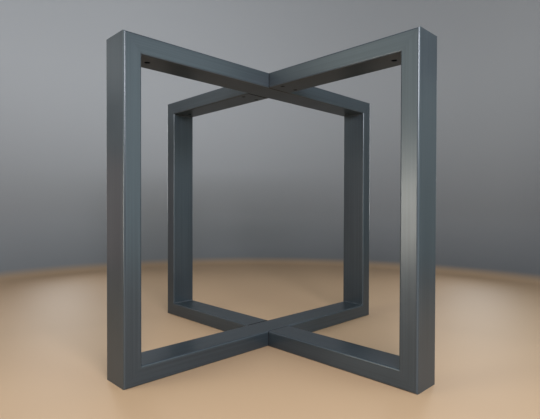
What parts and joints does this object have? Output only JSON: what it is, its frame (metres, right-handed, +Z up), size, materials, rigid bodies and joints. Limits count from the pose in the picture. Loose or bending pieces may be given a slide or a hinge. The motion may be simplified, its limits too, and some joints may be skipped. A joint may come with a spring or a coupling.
{
  "type": "cross-shaped table base",
  "caption": "Cross-shaped table base of coated rectangular steel tube: a closed mitred frame crossed by half frames screwed to its sides, with holes under the top rails to fix a table top.",
  "frame": {"origin": "on the floor, under the centre of the crossing", "axes": "+Z up; +X along the main frame, from the end shown front left in the picture to the far right one; +Y along the half frames, towards the rear one"},
  "size_m": [0.9, 0.9, 0.72],
  "materials": {
    "frame_coat": "smooth satin anthracite coat",
    "bracket_steel": "bare rolled steel",
    "screw_steel": "black oxide"
  },
  "bodies": {
    "root": {"main_top_rail": "frame_coat", "main_bottom_rail": "frame_coat", "main_left_upright": "frame_coat", "main_right_upright": "frame_coat", "front_half_upright": "frame_coat", "front_half_top_rail": "frame_coat", "front_half_bottom_rail": "frame_coat", "rear_half_upright": "frame_coat", "rear_half_top_rail": "frame_coat", "rear_half_bottom_rail": "frame_coat", "front_top_bracket": "bracket_steel", "front_bottom_bracket": "bracket_steel", "rear_top_bracket": "bracket_steel", "rear_bottom_bracket": "bracket_steel", "corner_weld_beads": "frame_coat", "bracket_plug_welds": "bracket_steel", "bracket_screws": "screw_steel"}
  },
  "joints": []
}
